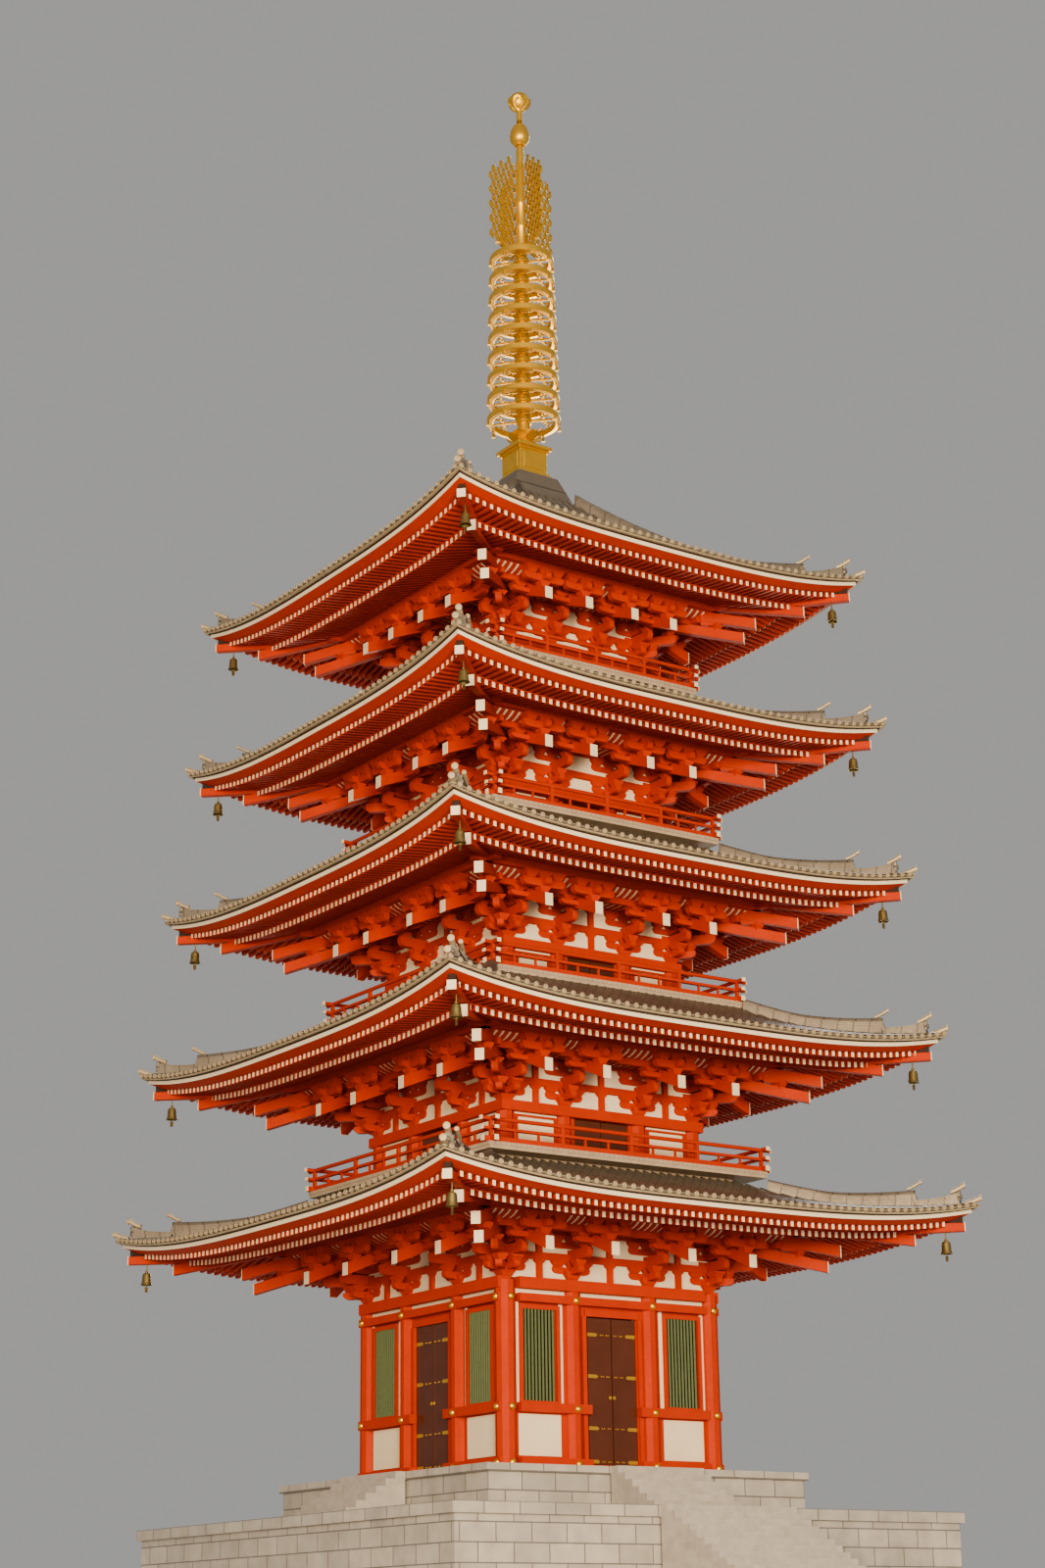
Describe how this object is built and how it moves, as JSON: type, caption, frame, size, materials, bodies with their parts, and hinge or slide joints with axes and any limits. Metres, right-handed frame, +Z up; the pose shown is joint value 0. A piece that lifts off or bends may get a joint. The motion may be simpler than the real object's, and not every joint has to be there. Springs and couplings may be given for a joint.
{
  "type": "five-storey pagoda on a stone terrace, 1:2 scale model",
  "caption": "Square multi-storey pagoda with flared tiled eaves, red timber frame, railed balconies, hinged front doors and a gilt ringed finial, on a stone terrace.",
  "frame": {"origin": "on the tower's vertical centre line, at the underside of the terrace", "axes": "+Z up along the tower, -Y towards the front with the terrace stair and the hinged doors, +X to the right of someone facing the front"},
  "size_m": [9.42, 13.2706, 26.66],
  "materials": {
    "stone": "pale granite, lightly tooled",
    "red_timber": "vermilion paint, satin",
    "door": "dark brown lacquer with gilt fittings",
    "roof_tile": "warm grey metal tiles, weathered",
    "deck_timber": "pale weathered boards",
    "gold": "gilt, polished",
    "white_plaster": "cream white plaster and painted rafter ends",
    "window_green": "green painted window bars",
    "bronze_green": "green bronze patina on the wind bells"
  },
  "bodies": {
    "root": {"terrace": "stone", "terrace_stair_upper": "stone", "terrace_stair_lower": "stone", "podium": "stone", "podium_steps_front": "stone", "podium_steps_right": "stone", "podium_steps_back": "stone", "podium_steps_left": "stone", "front_wall_left": "red_timber", "front_wall_right": "red_timber", "front_wall_over_door": "red_timber", "front_door_sill": "red_timber", "back_wall": "red_timber", "right_wall": "red_timber", "left_wall": "red_timber", "storey_1_brackets": "red_timber", "storey_2_brackets": "red_timber", "storey_3_brackets": "red_timber", "storey_4_brackets": "red_timber", "storey_5_brackets": "red_timber", "storey_1_eaves": "red_timber", "storey_2_eaves": "red_timber", "storey_3_eaves": "red_timber", "storey_4_eaves": "red_timber", "storey_5_eaves": "red_timber", "storey_2_railing": "red_timber", "storey_3_railing": "red_timber", "storey_4_railing": "red_timber", "storey_5_railing": "red_timber", "storey_2_walls": "red_timber", "storey_3_walls": "red_timber", "storey_4_walls": "red_timber", "storey_5_walls": "red_timber", "right_doors": "door", "back_doors": "door", "left_doors": "door", "roof_1": "roof_tile", "roof_2": "roof_tile", "roof_3": "roof_tile", "roof_4": "roof_tile", "roof_5": "roof_tile", "storey_2_floor": "deck_timber", "storey_3_floor": "deck_timber", "storey_4_floor": "deck_timber", "storey_5_floor": "deck_timber", "finial_basin": "gold", "finial_bowl": "gold", "finial_pole": "gold", "finial_rings": "gold", "finial_flame": "gold", "finial_egg": "gold", "finial_jewel": "gold"},
    "door_left": {"front_door_left": "door"},
    "door_right": {"front_door_right": "door"}
  },
  "joints": [
    {"name": "front_door_left_hinge", "type": "hinge", "parent": "root", "child": "door_left", "pos_m": [-0.409, -1.835, 4.2], "axis": [0, 0, -1], "range_deg": [0, 90]},
    {"name": "front_door_right_hinge", "type": "hinge", "parent": "root", "child": "door_right", "pos_m": [0.409, -1.835, 4.2], "axis": [0, 0, 1], "range_deg": [0, 90]}
  ]
}
